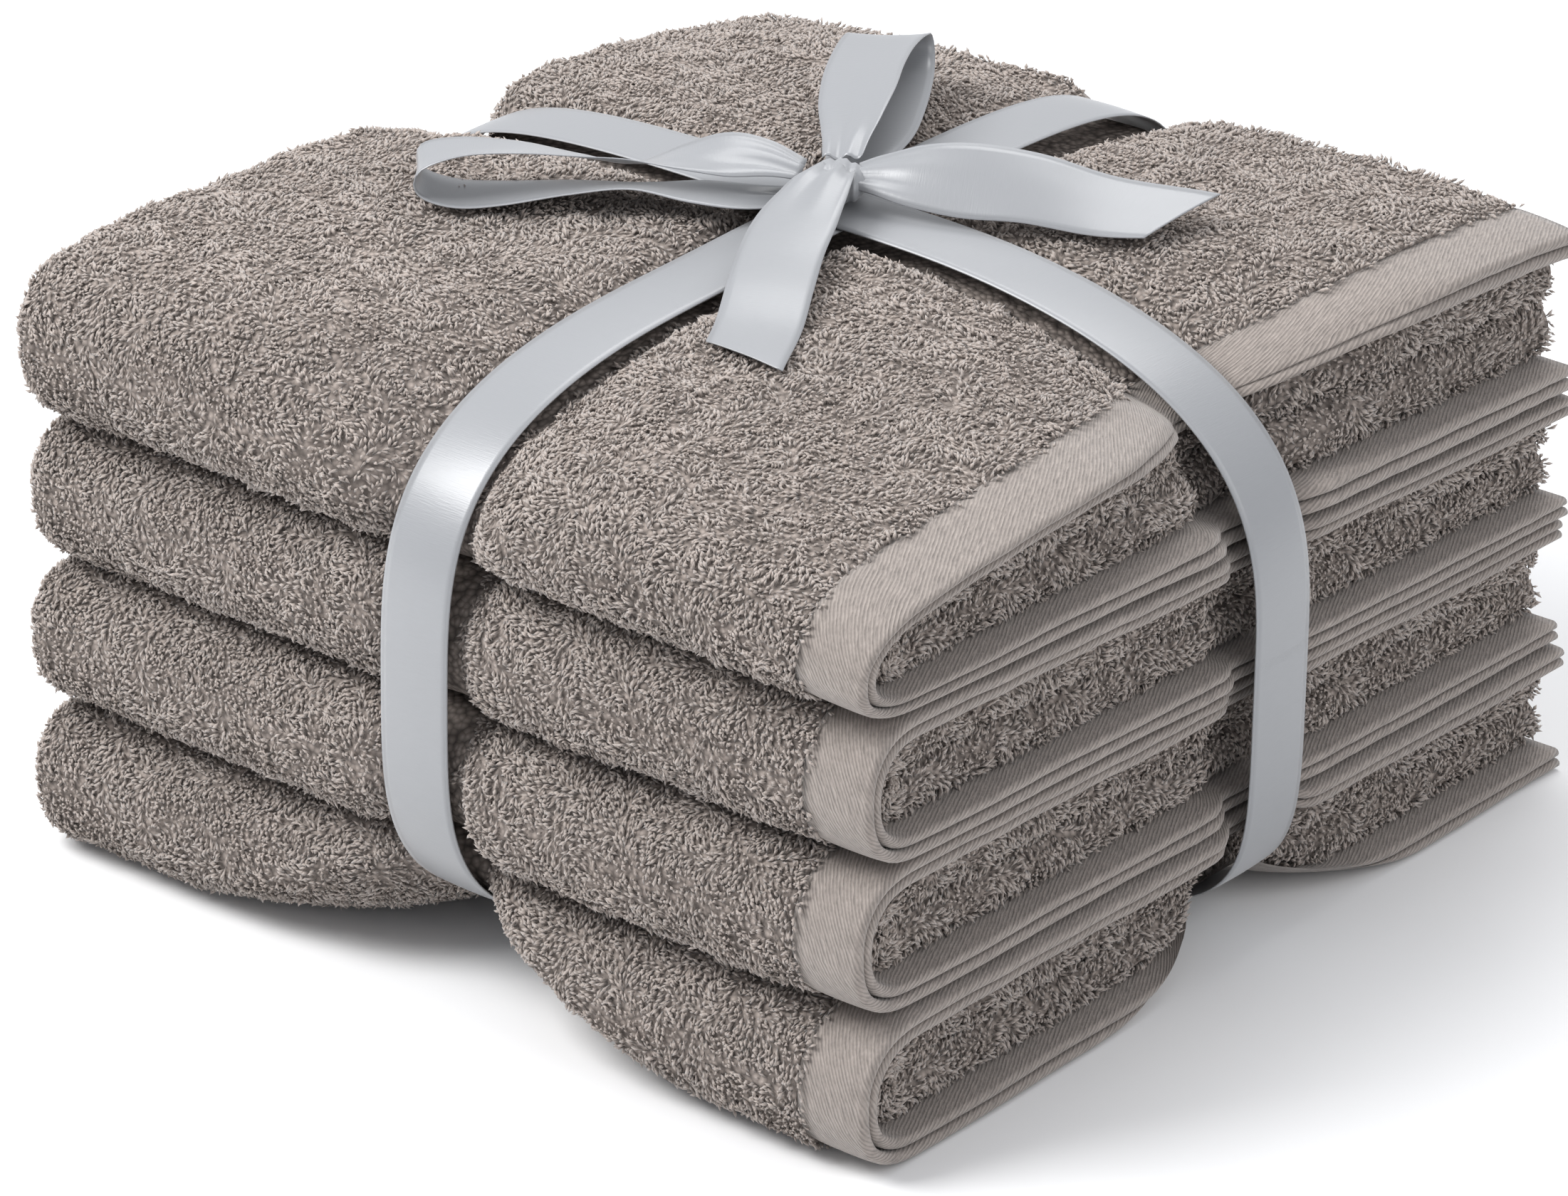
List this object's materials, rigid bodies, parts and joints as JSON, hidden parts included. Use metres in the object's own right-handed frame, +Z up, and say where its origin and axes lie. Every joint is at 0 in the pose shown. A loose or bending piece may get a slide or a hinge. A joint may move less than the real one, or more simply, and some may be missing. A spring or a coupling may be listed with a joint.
{
  "type": "bath towel set",
  "caption": "Stack of folded taupe terry bath towels with woven hem bands, tied both ways round with white satin ribbon and a bow.",
  "frame": {"origin": "centre of the bundle's box, on the surface it stands on", "axes": "+Z up, +X towards the hem ends, -Y towards the round folds"},
  "size_m": [0.352, 0.3651, 0.2277],
  "materials": {
    "terry": "matte",
    "hem_weave": "matte",
    "satin": "satin"
  },
  "bodies": {
    "bundle": {"towel_1_terry": "terry", "towel_2_terry": "terry", "towel_3_terry": "terry", "towel_4_terry": "terry", "towel_1_outer_hem": "hem_weave", "towel_2_outer_hem": "hem_weave", "towel_3_outer_hem": "hem_weave", "towel_4_outer_hem": "hem_weave", "towel_1_inner_hem": "hem_weave", "towel_2_inner_hem": "hem_weave", "towel_3_inner_hem": "hem_weave", "towel_4_inner_hem": "hem_weave", "towel_1_side_edges": "hem_weave", "towel_2_side_edges": "hem_weave", "towel_3_side_edges": "hem_weave", "towel_4_side_edges": "hem_weave", "ribbon_along_x": "satin", "ribbon_along_y": "satin", "bow_knot": "satin"},
    "loop_left": {"bow_loop_left": "satin"},
    "loop_back": {"bow_loop_back": "satin"},
    "tail_front": {"bow_tail_front": "satin"},
    "tail_right": {"bow_tail_right": "satin"}
  },
  "joints": [
    {"name": "loop_left_lift", "type": "hinge", "parent": "bundle", "child": "loop_left", "pos_m": [-0.01426, 0.00772, 0.212], "axis": [-0.6428, 0.766, 0], "range_deg": [0, 50]},
    {"name": "loop_back_lift", "type": "hinge", "parent": "bundle", "child": "loop_back", "pos_m": [-0.01024, 0.03171, 0.212], "axis": [0.8572, 0.515, 0], "range_deg": [0, 50]},
    {"name": "tail_front_lift", "type": "hinge", "parent": "bundle", "child": "tail_front", "pos_m": [0.00501, 0.00362, 0.213], "axis": [-0.8988, -0.4384, 0], "range_deg": [0, 50]},
    {"name": "tail_right_lift", "type": "hinge", "parent": "bundle", "child": "tail_right", "pos_m": [0.01226, 0.02526, 0.213], "axis": [0.454, -0.891, 0], "range_deg": [0, 50]}
  ]
}
